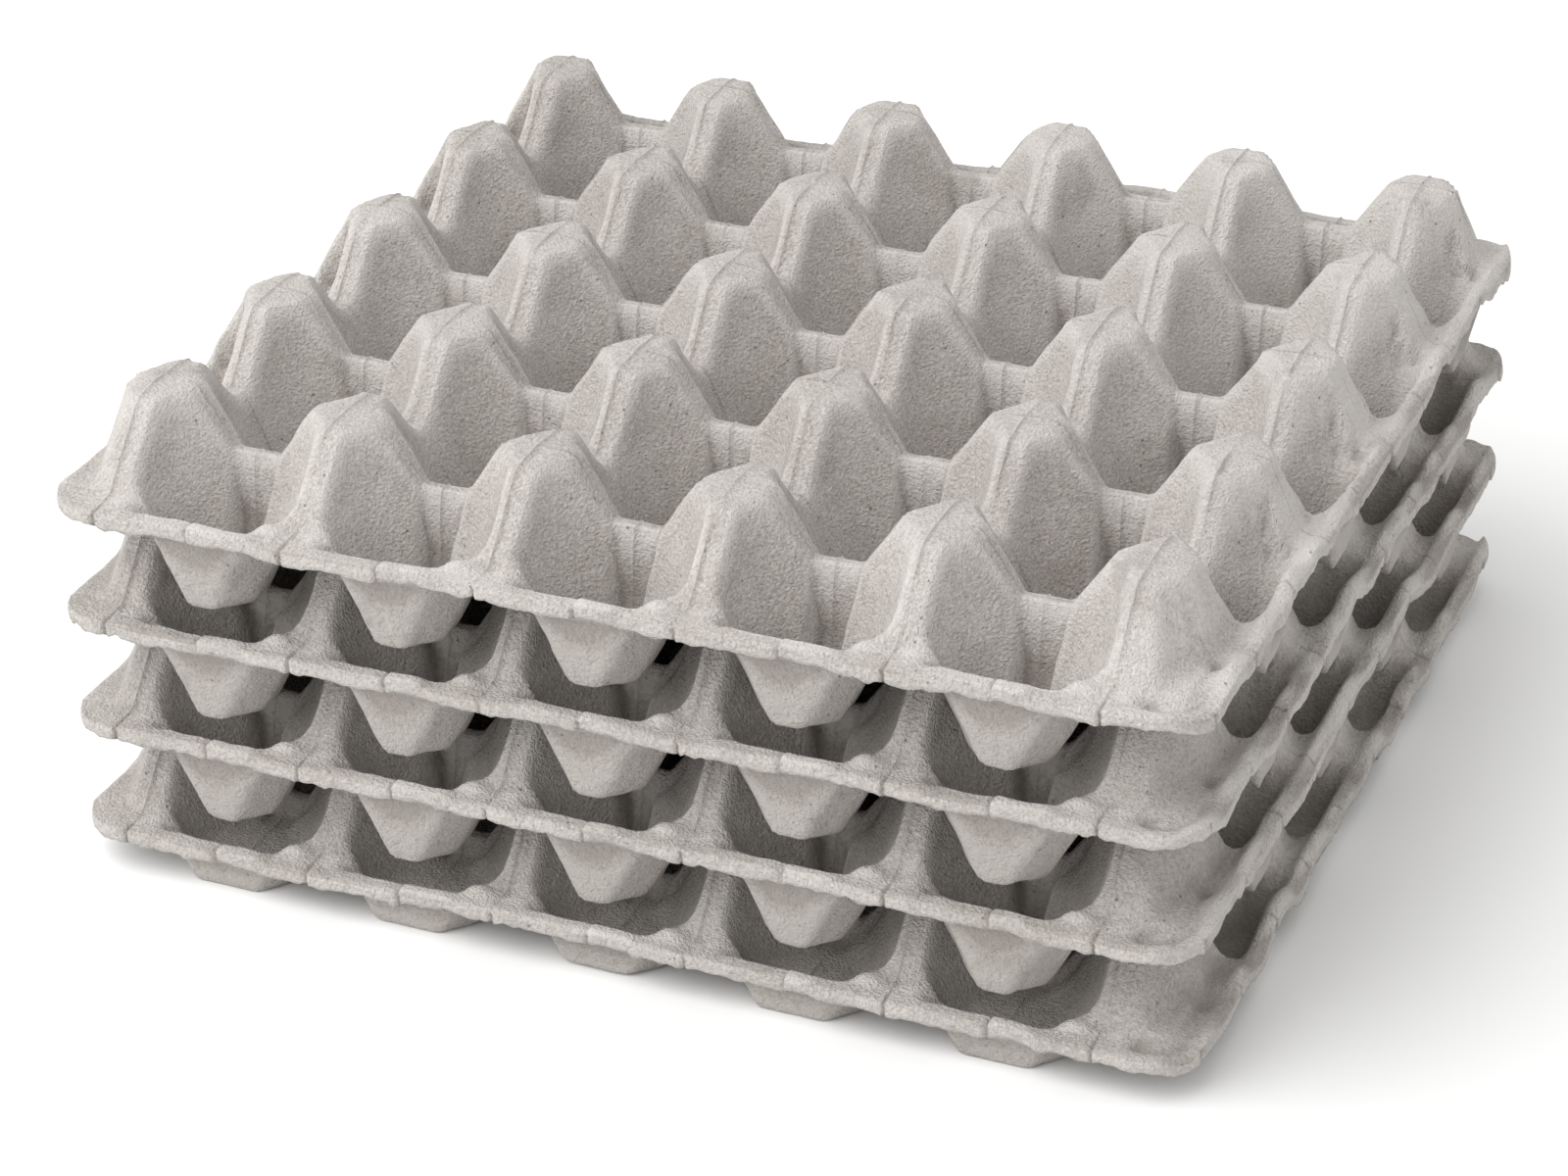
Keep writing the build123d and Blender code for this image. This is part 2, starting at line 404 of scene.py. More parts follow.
class Cup(Hollow):
    """A full cup: two flat ends, four bowed slanting walls and two steep strips."""

    # Which way a slanting wall faces, and by drop how far it bows out, and the middle
    # and half length of its bowed part. Then half the strips' width, and their reach.
    slant = (0.809, 0.588)
    bow = Sizes((0.0, 14.0, 42.6), (0.9, 4.0, 1.6))
    middle = Sizes((0.0, 14.0, 42.6), (5.3, 2.7, 2.4))
    half = Sizes((0.0, 14.0, 42.6), (5.9, 14.3, 6.4))
    strip_half = Sizes((14.0, 42.6), (6.25, 3.2))
    strip_reach = Sizes((14.0, 42.6), (25.5, 22.85))
    rounding = 0.8

    def walls(self, a: Array, b: Array, drop: float) -> Array:
        """The cup without its strips: its sides, ends and bowed slanting walls.

        Formula: the outermost of the side, the end and the slanting wall, a straight
        line moved out by bow times (1 - share squared), where share goes from -1 to 1
        along the bowed length.

        Args:
            a: Places across the cup, from its middle.
            b: Places along the cup, from its middle.
            drop: The depth looked at.

        Returns:
            Distances outside the walls, in mm.
        """
        end, wide, reach = self.end.at(drop), self.wide.at(drop), self.reach.at(drop)
        out = self.slant[0] * a + self.slant[1] * b
        along = self.slant[0] * b - self.slant[1] * a
        share = (along - self.middle.at(drop)) / self.half.at(drop)
        bow = self.bow.at(drop) * np.maximum(1.0 - share * share, 0.0)
        slanting = out - (self.slant[0] * end + self.slant[1] * reach) - bow
        straight = smooth_max(a - wide, b - reach, self.rounding)
        return smooth_max(slanting, straight, self.rounding)

    def strip(self, a: Array, b: Array, drop: float) -> Array:
        """The steep strip under the bridge at the cup's end."""
        return np.maximum(a - self.strip_half.at(drop), b - self.strip_reach.at(drop))

    def outline(self, a: Array, b: Array, drop: float) -> Array:
        """The cup's walls or its strips, whichever reach further."""
        return smooth_min(self.walls(a, b, drop), self.strip(a, b, drop), self.rounding)


class FrontPocket(Cup):
    """Half a cup on its inner side and a flat wall close behind the front rim."""

    # By drop: half the flat wall's width, how far it lies before the pocket's middle,
    # and half the pocket's width where its cheeks turn in, behind the middle by turn.
    mouth = Sizes((0.0, 18.0, 39.6), (19.0, 14.6, 3.4))
    wall_place = Sizes((18.0, 39.6), (4.8, 2.6))
    side = Sizes((14.0, 42.6), (23.0, 7.6))
    turn = 3.0
    edge_round = 1.1
    cheek_round = 0.6

    def outline(self, a: Array, b: Array, drop: float) -> Array:
        """The cup's walls on the inside, cut off by the cheeks and the flat wall.

        Args:
            a: Places across the pocket, from its middle.
            b: Places inwards from its middle.
            drop: The depth looked at.

        Returns:
            Distances outside the pocket, in mm.
        """
        mouth, out, wide = self.mouth.at(drop), self.wall_place.at(drop), self.side.at(drop)
        cheek = -beyond_line(a, b, (mouth, -out), (wide, self.turn))
        walls = smooth_max(self.walls(a, b, drop), a - wide, self.cheek_round)
        walls = smooth_max(walls, cheek, self.cheek_round)
        strip = np.maximum(self.strip(a, b, drop), -b)
        return smooth_max(smooth_min(walls, strip, self.rounding), -b - out, self.edge_round)


class BorderPocket(Hollow):
    """A pocket behind the right, left or back rim, narrowing towards its floor."""

    # How far inside the rim its outer wall starts and, at the floor, ends, and how far
    # beyond the inner end its knee lies at least.
    clear = {Side.BACK: 0.9, Side.LEFT: 1.3, Side.RIGHT: 1.8}
    lean_in = 4.0
    knee_least = 0.5
    rounding = 0.6

    def __init__(self, form: TrayForm, side: Side, drop: float) -> None:
        """Works out the pocket's outline from the border's width.

        Args:
            form: The tray's sizes.
            side: Which border the pocket is in.
            drop: The depth of the pocket's outside.
        """
        super().__init__(form, drop)
        self.side = side
        levels = (0.0, 14.0, 18.0, self.floor)
        if side is Side.BACK:
            place = form.back - form.well_y - form.wall
            end, reach = self.end.at(0.0), self.reach.at(0.0)
            top = end + form.lean * (reach + place - 1.8)
            self.mouth = Sizes(levels, (top, 15.5, 13.5, 6.5))
            self.knee_across = Sizes(levels, ((end + top) / 2, 13.0, 12.0, 6.5))
        else:
            border = form.right if side is Side.RIGHT else form.left
            place = border - form.well_x - form.wall
            self.mouth = Sizes(levels, (25.5, 16.0, 16.0, 4.0))
            self.knee_across = Sizes(levels, (25.5, 20.0, 19.0, 4.0))
        self.out = Sizes((18.0, self.floor), (place - self.clear[side], place - self.lean_in))

    def outline(self, a: Array, b: Array, drop: float) -> Array:
        """Two cheeks that meet at a knee, between an inner end and the outer wall.

        Args:
            a: Places outwards from the pocket's middle.
            b: Places across it, always positive.
            drop: The depth looked at.

        Returns:
            Distances outside the pocket, in mm.
        """
        out, mouth, knee_b = self.out.at(drop), self.mouth.at(drop), self.knee_across.at(drop)
        if self.side is Side.BACK:
            inner, root = self.reach.at(drop), min(self.end.at(drop), knee_b - self.knee_least)
        else:
            inner = self.wide.at(drop)
            root = self.reach.at(drop) - (inner - self.end.at(drop)) / self.form.lean
            root = min(max(root, self.form.ridge_half), knee_b - self.knee_least)
        knee_a = -(inner - out) / 2
        first = beyond_line(a, b, (-inner, root), (knee_a, knee_b))
        second = beyond_line(a, b, (knee_a, knee_b), (out, mouth))
        cheeks = smooth_max(first, second, self.rounding)
        ends = smooth_max(-a - inner, a - out, self.rounding)
        return smooth_max(cheeks, ends, self.rounding)


class CornerFlank(Hollow):
    """What falls away beyond a corner peak, down to the flange."""

    # Half the ridges' widths at their feet, where the front right corner has its own
    # across X, and how much wider than elsewhere half the ridge is at its top.
    wedge_half = 9.0
    most_half_x = 6.0
    most_half_y = 4.0
    top_extra = 0.8
    rounding = 0.35

    def __init__(self, form: TrayForm, foot_x: float, foot_y: float) -> None:
        """Sets how far the flank runs out.

        Args:
            form: The tray's sizes.
            foot_x: From the peak's middle to the end of the ridge along X.
            foot_y: The same along Y.
        """
        super().__init__(form, form.flange_drop + form.wall)
        levels = (0.0, form.flange_drop)
        wedge = foot_x > form.left_foot and foot_y > form.back_foot
        half_x = self.wedge_half if wedge else min(self.most_half_x, foot_x / 3)
        half_y = min(self.most_half_y, foot_y / 3)
        self.far_x = Sizes(levels, (form.plateau_x, foot_x))
        self.far_y = Sizes(levels, (form.plateau_y, foot_y))
        self.near_x = Sizes(levels, (form.ridge_half + self.top_extra, half_x))
        self.near_y = Sizes(levels, (form.ridge_half, half_y))

    def outline(self, a: Array, b: Array, drop: float) -> Array:
        """Positive on the peak and its two ridges, negative beyond the flank.

        Args:
            a: Places outwards from the peak's middle along X.
            b: The same along Y.
            drop: The depth looked at.

        Returns:
            Distances outside the flank, in mm.
        """
        start = (self.far_x.at(drop), self.near_y.at(drop))
        end = (self.near_x.at(drop), self.far_y.at(drop))
        flank = beyond_line(a, b, start, end)
        ridges = np.maximum(self.near_x.at(drop) - a, self.near_y.at(drop) - b)
        return smooth_max(flank, ridges, self.rounding)


class TraySurface:
    """The top and the underside of a tray as heights over its plan."""

    # How far apart crests and hollows may be and still blend where they meet.
    crest_join = 0.6
    hollow_join = 0.5
    under_join = 0.8

    # From a cup's middle, where its left side starts to lean in and where it has.
    lean_over = (2.0, 12.0)

    # A pressed saddle: where it starts and ends from its middle, how far it reaches
    # from the row of peaks, and the heights between which it fades in.
    notch_starts = (-8.5, -5.0)
    notch_ends = (11.5, 16.0)
    notch_reach = (5.0, 8.0)
    notch_fades = (-30.0, -20.0)

    # The left border beyond each peak: half its flat, its slope and where it starts.
    flank_half = 3.5
    flank_slope = 1.75
    flank_starts = (-9.5, -5.5)
    flank_clear = 20.0

    def __init__(self, form: TrayForm, deepest: float, front_notch: float) -> None:
        """Makes the tray's hollows.

        Args:
            form: The tray's sizes.
            deepest: How deep its deepest cup is, to the outside.
            front_notch: How much the saddles of its front row are pressed down.
        """
        self.form = form
        self.deepest = deepest
        self.front_notch = front_notch
        self.cup = Cup(form, form.cup_drop)
        self.front_pocket = FrontPocket(form, form.front_drop)
        self.right_pocket = BorderPocket(form, Side.RIGHT, form.right_drop)
        self.left_pocket = BorderPocket(form, Side.LEFT, form.left_drop)
        self.back_pocket = BorderPocket(form, Side.BACK, form.back_drop)

    def hollows(self, x: Array, y: Array, grow: float, under: float) -> Array:
        """Height of whichever hollow each point is over.

        Args:
            x: Places from the first column of peaks.
            y: Places from the first row of peaks.
            grow: How much wider the hollows are.
            under: How much lower their floors are.

        Returns:
            Heights in mm.
        """
        form = self.form
        column = np.clip(np.floor(x / form.pitch_x), -1, form.columns - 1)
        row = np.clip(np.floor(y / form.pitch_y), -1, form.rows - 1)
        signed = x - (column + 0.5) * form.pitch_x
        across = np.abs(signed)
        leaning = across + form.ridge_lean * ramp(-signed, *self.lean_over)
        along = np.abs(y - (row + 0.5) * form.pitch_y)
        left, right = column < 0, column > form.columns - 2
        front, back = row < 0, row > form.rows - 2
        inner_x, inner_y = ~(left | right), ~(front | back)
        out_left, out_right = -form.well_x - x, x - form.span_x - form.well_x
        out_back = y - form.span_y - form.well_y
        regions = [
            (inner_x & inner_y, self.cup, leaning, along),
            (inner_x & front, self.front_pocket, leaning, y + form.well_y),
            (inner_x & back, self.back_pocket, out_back, across),
            (inner_y & right, self.right_pocket, out_right, along),
            (inner_y & left, self.left_pocket, out_left, along),
        ]
        sides_x = ((left, -x, form.left_foot), (right, x - form.span_x, form.right_foot))
        sides_y = ((front, -y, form.front_foot), (back, y - form.span_y, form.back_foot))
        for side_x, away_x, foot_x in sides_x:
            for side_y, away_y, foot_y in sides_y:
                regions.append((side_x & side_y, CornerFlank(form, foot_x, foot_y), away_x, away_y))
        height = np.full_like(x, NO_HOLLOW)
        for mask, hollow, a, b in regions:
            height[mask] = hollow.height(a[mask], b[mask], grow, under, self.deepest)
        return height

    def notched(self, height: Array, x: Array, y: Array) -> Array:
        """Presses the front row's saddles down, flat at their middles.

        Formula: four S-shaped ramps multiplied, across the saddle on both sides, away
        from the row, and with height.

        Args:
            height: Heights before.
            x: Places from the first column of peaks.
            y: Places from the first row of peaks.

        Returns:
            Heights in mm.
        """
        form = self.form
        from_saddle = x - (np.floor(x / form.pitch_x) + 0.5) * form.pitch_x
        inside = (x > 0) & (x < form.span_x)
        width = ramp(from_saddle, *self.notch_starts) * (1 - ramp(from_saddle, *self.notch_ends))
        down = self.front_notch * width * (1 - ramp(np.abs(y), *self.notch_reach)) * inside
        return height - down * ramp(height, *self.notch_fades)

    def left_flank(self, x: Array, y: Array) -> Array:
        """How high the left border may stand: a triangle beyond each peak, then the flange.

        Args:
            x: Places from the first column of peaks.
            y: Places from the first row of peaks.

        Returns:
            Heights in mm, out of the way where they don't matter.
        """
        form = self.form
        from_row = np.abs(form.past_row(y))
        flank = np.maximum(-(from_row - self.flank_half) * self.flank_slope, -form.flange_drop)
        between = (y > 0) & (y < form.span_y)
        return np.where(between, flank + self.flank_clear * ramp(x, *self.flank_starts), NO_HOLLOW)

    def top(self, x: Array, y: Array) -> Array:
        """The top surface: the lower of the ridges and the hollows.

        Args:
            x: Places from the first column of peaks.
            y: Places from the first row of peaks.

        Returns:
            Heights in mm.
        """
        form = self.form
        crests = smooth_min(form.crest(x, 0.0, True), form.crest(y, 0.0, False), self.crest_join)
        height = smooth_min(crests, self.hollows(x, y, 0.0, 0.0), self.hollow_join)
        flanked = smooth_min(height, self.left_flank(x, y), self.crest_join)
        return self.notched(np.where(x < 0, flanked, height), x, y)

    def underside(self, x: Array, y: Array) -> Array:
        """The underside: the same a wall's thickness in from the top.

        Args:
            x: Places from the first column of peaks.
            y: Places from the first row of peaks.

        Returns:
            Heights in mm.
        """
        form, wall = self.form, self.form.wall
        crests = smooth_min(form.crest(x, wall, True), form.crest(y, wall, False), self.under_join)
        height = smooth_min(crests, self.hollows(x, y, wall, wall), self.under_join)
        return self.notched(height, x, y)

    @staticmethod
    def averaged(surface: Surface, x: Array, y: Array, radius: float) -> Array:
        """A surface averaged over a small ring, which rounds its sharp edges.

        Args:
            surface: Gives heights over places.
            x: Places in mm.
            y: Places in mm.
            radius: The ring's radius in mm.

        Returns:
            Heights in mm: a third of the middle and two thirds of the ring.
        """
        total = surface(x, y) * 2.0
        for turn in RING_TURNS:
            total += surface(x + radius * math.cos(turn), y + radius * math.sin(turn)) * RING_SHARE
        return total / 6.0


# --------------------------------------------------------------------------- meshes


@dataclass(frozen=True)
class Character:
    """What tells one tray of the stack from the next."""

    # How far the tray and its rim bend, how torn its lip is, and how far the saddles of
    # its front row are pressed down.
    seed: int
    warp: float = 0.25
    rim_warp: float = 0.25
    torn: float = 0.8
    front_notch: float = 7.6


@dataclass
class Skin:
    """One surface of a tray: its points on a grid and what the finish reads."""

    points: Array
    # How far each point stands out: the finish paints it lighter there, as edge wear and painted highlight,
    # and darker in hollows and cracks, as painted shade.
    wear_and_shade: Array
    # How much of a seam each point has; the finish darkens along the seams as painted shade.
    seam: Array
    # 1 underneath, 0.8 on the lip and 0 on top: coarser relief, and underneath a darker colour, which is
    # painted shade.
    rough: float


@dataclass(frozen=True)
class Dimple:
    """A swelling or a dent of the rim, at one place past every peak."""

    high: float
    past: float
    half_along: float
    inset: float
    half_across: float

    def at(self, past: Array, inset: Array) -> Array:
        """Heights to add: one bell along the rim times one across it."""
        along = mound(past - self.past, self.half_along)
        return self.high * along * mound(inset - self.inset, self.half_across)


class PulpTray:
    """One moulded tray, a thin closed sheet with a torn, turned-down lip.

    Each ripple adds its own number to the tray's seed, so that no two are alike. Only
    the seams' own ripples are the same on every tray, because one mould made them all.
    Where a size below is a pair, a ramp starts at one number and ends at the other.
    """

    # Where the mesh's lines run, in mm, closer together where the surface turns: from
    # a peak to the middle of a cup, and from the outer peaks to the edges.
    half_x = (0, .5, 1.0, 2, 3.2, 4.4, 6, 7.6, 9.2, 11, 13, 14.8, 16.2, 17.4, 18.6, 20,
              21.8, 23.8, 24.5, 25)
    half_y = (0, .5, 1.1, 1.8, 2.6, 3.5, 4.6, 6, 8, 10, 11.6, 13.5, 15.8, 18.2, 20.6, 23,
              25, 26.4, 27, 27.5)
    left_lines = (0, .5, 1.1, 2.2, 3.8, 5.5, 7.2, 8.7, 9.9, 10.9, 11.7, 12.5, 13.3, 14.1,
                  14.6, 15)
    right_lines = (0, .5, 1.1, 2.2, 3.8, 5.5, 7.2, 8.9, 10.6, 12.3, 14, 15.6, 17, 18.2,
                   19.3, 20.3, 21.3, 22.2, 22.9, 23.5, 24)
    front_lines = (0, .5, 1.1, 1.8, 2.6, 3.6, 5, 7, 9, 11, 13, 15, 17, 19, 21, 23, 25, 26.6,
                   28, 29.3, 30.4, 31.2, 31.9, 32.5, 33.1, 33.8, 34.4, 35, 35.5, 36, 36.5)
    back_lines = (0, .5, 1.1, 1.8, 2.6, 3.6, 5, 7, 8.7, 10.2, 11.4, 12.3, 13, 13.7, 14.3,
                  14.7, 15)
    half_x_under = (0, .8, 2, 3.6, 5.4, 7.2, 9, 10.8, 12.4, 13.8, 15, 16, 16.8, 17.6, 18.5,
                    19.6, 21, 22.6, 24, 25)
    front_under = (0, 1, 2.2, 3.6, 5.2, 7, 9, 11, 13, 15, 17, 19, 21, 23, 25, 26.6, 27.8,
                   28.8, 29.6, 30.3, 30.9, 31.4, 31.8, 32.15, 32.45, 32.75, 33.05, 33.35,
                   33.6, 33.85, 34.1)

    # How wide a border's lines are squeezed to make room for the wall.
    squeezed = 6.0

    # Rounding of the surfaces, the wall's least thickness and the rim's rounded edge.
    edge_radius = 0.45
    # The width of the average that the wear and shade, painted highlight and painted shade, is measured
    # against.
    wear_and_shade_radius = 1.9
    least_wall = 0.7
    rim_round = 0.4
    rim_round_width = 0.7

    # The mould seams: half their width and how high they stand. Near the front and the
    # right edge they are cracks: how deep, how far in, and half their width in the lip.
    seam_half = 0.62
    seam_high = 0.60
    crack_deep = 1.1
    crack_reach = (3.5, 6.0)
    crack_half = 0.7

    # Swellings and dents of the front and right rims, and where the swellings fade in
    # from the left and from the front.
    front_swell = Dimple(1.9, -6.2, 3.6, 6.6, 2.4)
    front_dents = (Dimple(1.0, 4.4, 2.8, 7.4, 2.2), Dimple(-2.3, 9.8, 1.7, 6.2, 1.5))
    front_fades = (-2.0, 20.0)
    right_swell = Dimple(1.6, 0.0, 5.5, 7.5, 3.2)
    right_dent = Dimple(-1.8, -9.5, 2.0, 6.5, 1.8)
    right_fades = (10.0, 30.0)

    # Bars along the front rim: height, mean length, its spread, where they start and
    # how gently they end, and how far in they reach.
    bar_high = 0.85
    bar_length = 10.5
    bar_spread = 2.5
    bar_starts = (0.2, 0.7)
    bar_end = 3.0
    bar_reach = (2.6, 4.2)

    # The rolled right edge: height and its spread, how far in, half width, fade.
    roll_high = 1.2
    roll_spread = 0.7
    roll_inset = 2.4
    roll_half = 1.5
    roll_fades = (14.0, 26.0)

    # The groove round the front right corner: how far in its centre lies, its radius,
    # half its width, its depth, and where it ends along the right and the front.
    groove_centre = 13.0
    groove_radius = 8.6
    groove_half = 1.2
    groove_deep = 0.8
    groove_ends = ((13.0, 18.0), (13.0, 22.0))

    # Folds of the right column's peaks: directions in degrees with heights, half their
    # width, the share, place and half width of the dent beside each, and how far from
    # the peak they start and end.
    pleats = ((-70, 0.40), (-50, 0.45), (-30, 0.35))
    pleat_half = 0.9
    pleat_dent = (0.7, 1.9, 1.2)
    pleat_starts = (4.0, 7.0)
    pleat_ends = (15.0, 20.0)

    # Slow bends: of the right edge, and how far in those of the rim and of the right
    # edge reach.
    right_wave = 1.3
    right_share = 0.9
    rim_reach = (0, 14)
    right_reach = (0, 9)

    # Lumps in two sizes, how much standing out counts towards the wear and shade, and how much a crack takes
    # off it, which paints the crack darker: painted shade.
    lump_high = 0.10
    small_lump_high = 0.05
    wear_and_shade_gain = 0.9
    crack_shade = 1.4

    # The lip's rows from the rim down: how far down, how far out and how much lighter they are painted, as
    # edge wear and painted highlight. The last one turns back in: how far down, how far in and how much
    # lighter.
    lip_rows = ((0.9, 0.12, 0.2), (2.1, 0.22, 0.3), (3.2, 0.05, 0.7))
    lip_inner = (3.0, 1.3, 0.4)
    lip_deep = 3.2
    lip_rough = 0.8

    # The lip's cracks, darkened as painted shade, its torn edge, bulge and the step between panels. From
    # calm_start before the front right corner, over calm_length, the edge is torn less.
    lip_crack = 0.7
    lip_crack_shade = 1.6
    torn_high = 0.28
    bulge_high = 0.14
    bulge_share = 0.7
    step_high = 0.35
    step_share = 0.8
    calm_start = 14.0
    calm_length = 6.0
    calm_share = 0.6

    def __init__(self, node: str, form: TrayForm, character: Character) -> None:
        """Reads the tray's place from its CAD node.

        Args:
            node: The CAD node that this tray stands for.
            form: The tray's sizes.
            character: What is particular to this tray.
        """
        self.node = node
        self.form = form
        self.character = character
        low, high = (np.array(corner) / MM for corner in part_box(node))
        self.origin = np.array((low[0] + form.left, low[1] + form.front, high[2]))
        deepest = min(high[2] - low[2], form.cup_drop)
        self.surface = TraySurface(form, deepest, character.front_notch)

    def _lines(self, along_x: bool, inset: float) -> Array:
        """Places of the mesh's lines along one direction, from the first peak.

        Args:
            along_x: True for the lines' places along X.
            inset: How far in from the edge the outermost lines lie. The outer lines are squeezed in by it,
                except the underside's front lines, which have their own list.

        Returns:
            The places in mm.
        """
        form = self.form
        if along_x:
            pitch, count = form.pitch_x, form.columns
            half = np.array(self.half_x_under if inset else self.half_x)
            borders = (self.left_lines, self.right_lines)
        else:
            pitch, count, half = form.pitch_y, form.rows, np.array(self.half_y)
            borders = (self.front_lines, self.back_lines)
        before, after = (self._squeezed(np.array(lines), inset) for lines in borders)
        if inset and not along_x:
            before = np.array(self.front_under)
        cell = np.concatenate([half[:-1], pitch - half[::-1][:-1]])
        inner = np.concatenate([cell + number * pitch for number in range(count - 1)])
        span = pitch * (count - 1)
        return np.concatenate([-before[:0:-1], inner, span + after])

    def _squeezed(self, lines: Array, inset: float) -> Array:
        """Moves the outermost lines in by inset, and the next ones by less and less."""
        return lines - inset * np.clip(1 - (lines[-1] - lines) / self.squeezed, 0, 1)

    def _plan(self, inset: float) -> tuple[Array, Array]:
        """The mesh's lines as a grid over the tray's plan, with its corners rounded.

        Formula: a corner square becomes a quarter disc, each place (u, v) in it,
        measured from its inner corner, moving to u times the root of (1 - v squared
        over 2), and v likewise.

        Args:
            inset: How far in from the tray's edge the grid ends.

        Returns:
            The places along X and Y, as arrays of rows by columns.
        """
        form = self.form
        edges_x = ((-1, -form.left + inset), (1, form.span_x + form.right - inset))
        edges_y = ((-1, -form.front + inset), (1, form.span_y + form.back - inset))
        x, y = np.meshgrid(self._lines(True, inset), self._lines(False, inset))
        radius = form.corner_radius - inset
        for sign_x, edge_x in edges_x:
            for sign_y, edge_y in edges_y:
                u = sign_x * (x - edge_x) / radius + 1
                v = sign_y * (y - edge_y) / radius + 1
                inside = (u > 0) & (v > 0)
                u, v = np.clip(u, 0, 1), np.clip(v, 0, 1)
                new_x = edge_x + sign_x * radius * (u * np.sqrt(1 - v * v / 2) - 1)
                new_y = edge_y + sign_y * radius * (v * np.sqrt(1 - u * u / 2) - 1)
                x, y = np.where(inside, new_x, x), np.where(inside, new_y, y)
        return x, y

    def _seams(self, x: Array, y: Array) -> Array:
        """The thin raised lines through the peaks and the cups' middles.

        Formula: 1 on a seam, falling straight to 0 at half its width, times slow noise
        that is stretched along the seam.

        Args:
            x: Places from the first column of peaks.
            y: Places from the first row of peaks.

        Returns:
            How much of a seam each place has, 0 to 1.
        """
        from_x, from_y = self.form.from_seams(x, y)
        line_x = np.maximum(1 - from_x / self.seam_half, 0)
        line_y = np.maximum(1 - from_y / self.seam_half, 0)
        patchy_x = 0.85 + 0.30 * Ripple(5, 17.0).at(x * 0.2, y, 0.0)
        patchy_y = 0.45 + 0.35 * Ripple(6, 15.0).at(x, y * 0.2, 0.0)
        return np.maximum(line_x * np.clip(patchy_x, 0.2, 1), line_y * np.clip(patchy_y, 0, 1))

    def _rim_detail(self, x: Array, y: Array) -> Array:
        """Heights added along the rim: swellings, dents, bars, the roll, a groove and folds.

        Args:
            x: Places from the first column of peaks.
            y: Places from the first row of peaks.

        Returns:
            Heights to add, in mm.
        """
        insets = self.form.insets(x, y)
        front, right = insets[Side.FRONT], insets[Side.RIGHT]
        marks = self._front_marks(x, front) + self._right_marks(y, right, front)
        beyond_right = np.maximum(self.groove_centre - right, 0)
        beyond_front = np.maximum(self.groove_centre - front, 0)
        groove = mound(np.hypot(beyond_right, beyond_front) - self.groove_radius, self.groove_half)
        near = (1 - ramp(right, *self.groove_ends[0])) * (1 - ramp(front, *self.groove_ends[1]))
        marks.append(-self.groove_deep * groove * near)
        return sum(marks) + self._pleats(x, y)

    def _front_marks(self, x: Array, front: Array) -> list[Array]:
        """The front rim's swellings, dents and bars.

        Args:
            x: Places from the first column of peaks.
            front: How far in from the front edge they are.

        Returns:
            Heights to add for each kind of mark, in mm.
        """
        form = self.form
        past = form.past_column(x)
        marks = [self.front_swell.at(past, front) * ramp(x, *self.front_fades)]
        marks += [dent.at(past, front) for dent in self.front_dents]
        after_gap = (x - form.well_x) % form.pitch_x
        wave = Ripple(self.character.seed + 40, 90.0).at(x, 0.0, 0.0)
        length = self.bar_length + self.bar_spread * wave
        bar = ramp(after_gap, *self.bar_starts) * (1 - ramp(after_gap, length, length + self.bar_end))
        between = (x > 0) & (x < form.span_x)
        marks.append(self.bar_high * bar * (1 - ramp(front, *self.bar_reach)) * between)
        return marks

    def _right_marks(self, y: Array, right: Array, front: Array) -> list[Array]:
        """The right rim's rolled edge, swellings and dents.

        Args:
            y: Places from the first row of peaks.
            right: How far in from the right edge they are.
            front: How far in from the front edge they are.

        Returns:
            Heights to add for each kind of mark, in mm.
        """
        past = self.form.past_row(y)
        wave = Ripple(self.character.seed + 41, 22.0).at(0.0, y, 0.0)
        roll = self.roll_high + self.roll_spread * wave
        return [
            roll * mound(right - self.roll_inset, self.roll_half) * ramp(front, *self.roll_fades),
            self.right_swell.at(past, right) * ramp(y, *self.right_fades),
            self.right_dent.at(past, right),
        ]

    def _pleats(self, x: Array, y: Array) -> Array:
        """Folds that run down the right column's peaks from their tops.

        Formula: across each fold a bell and, beside it, a shallower dent, both fading
        in and out with the distance from the peak.

        Args:
            x: Places from the first column of peaks.
            y: Places from the first row of peaks.

        Returns:
            Heights to add, in mm.
        """
        east, north = x - self.form.span_x, self.form.past_row(y)
        away = np.hypot(east, north)
        length = ramp(away, *self.pleat_starts) * (1 - ramp(away, *self.pleat_ends)) * (east > 0)
        share, beside, half = self.pleat_dent
        added = np.zeros_like(x)
        for degrees, high in self.pleats:
            turn = math.radians(degrees)
            across = east * math.sin(turn) - north * math.cos(turn)
            ahead = east * math.cos(turn) + north * math.sin(turn)
            fold = mound(across, self.pleat_half) - share * mound(across - beside, half)
            added += high * fold * (ahead > 0)
        return added * length

    def _warp(self, x: Array, y: Array) -> Array:
        """Slow bends of the whole tray, stronger along its rim and its right edge.

        Args:
            x: Places from the first column of peaks.
            y: Places from the first row of peaks.

        Returns:
            Heights to add, in mm.
        """
        mine, insets = self.character, self.form.insets(x, y)
        edge = np.minimum.reduce(list(insets.values()))
        slow = Ripple(mine.seed, 260.0, 8, 0.2).at(x, y, 0.0) * mine.warp
        rim = Ripple(mine.seed + 7, 62.0, 12, 0.35).at(x, y, 0.0) * mine.rim_warp
        right = Ripple(mine.seed + 9, 30.0, 12, 0.35).at(0.0, y, 0.0) * self.right_wave
        near_edge = 1 - ramp(edge, *self.rim_reach)
        near_right = 1 - ramp(insets[Side.RIGHT], *self.right_reach)
        return slow + rim * near_edge + right * near_right * self.right_share

